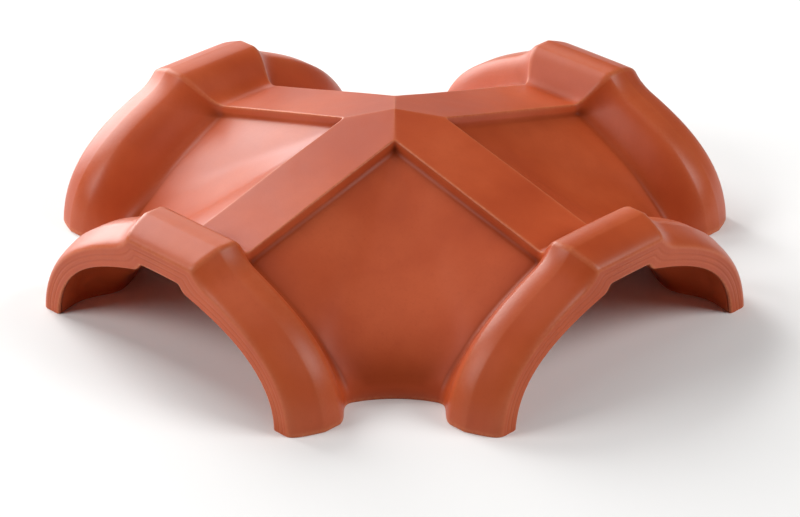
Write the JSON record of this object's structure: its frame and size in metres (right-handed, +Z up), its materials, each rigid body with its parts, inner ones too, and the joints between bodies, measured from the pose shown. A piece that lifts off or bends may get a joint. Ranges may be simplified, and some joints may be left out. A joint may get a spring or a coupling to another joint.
{
  "type": "four-way ridge tile",
  "caption": "Hollow moulded clay roof ornament shaped as a cross, with a raised band down each arm and a thick socket collar at each end; it caps the meeting point of roof ridges.",
  "frame": {"origin": "under the apex, at the middle of the plane that the feet stand on", "axes": "+Z up through the apex; the arms run along +X, -X, +Y and -Y"},
  "size_m": [0.444, 0.444, 0.121],
  "materials": {
    "fired_clay": "terracotta-red fired clay with a satin slip coating"
  },
  "bodies": {
    "root": {"ridge_tile": "fired_clay"}
  },
  "joints": []
}
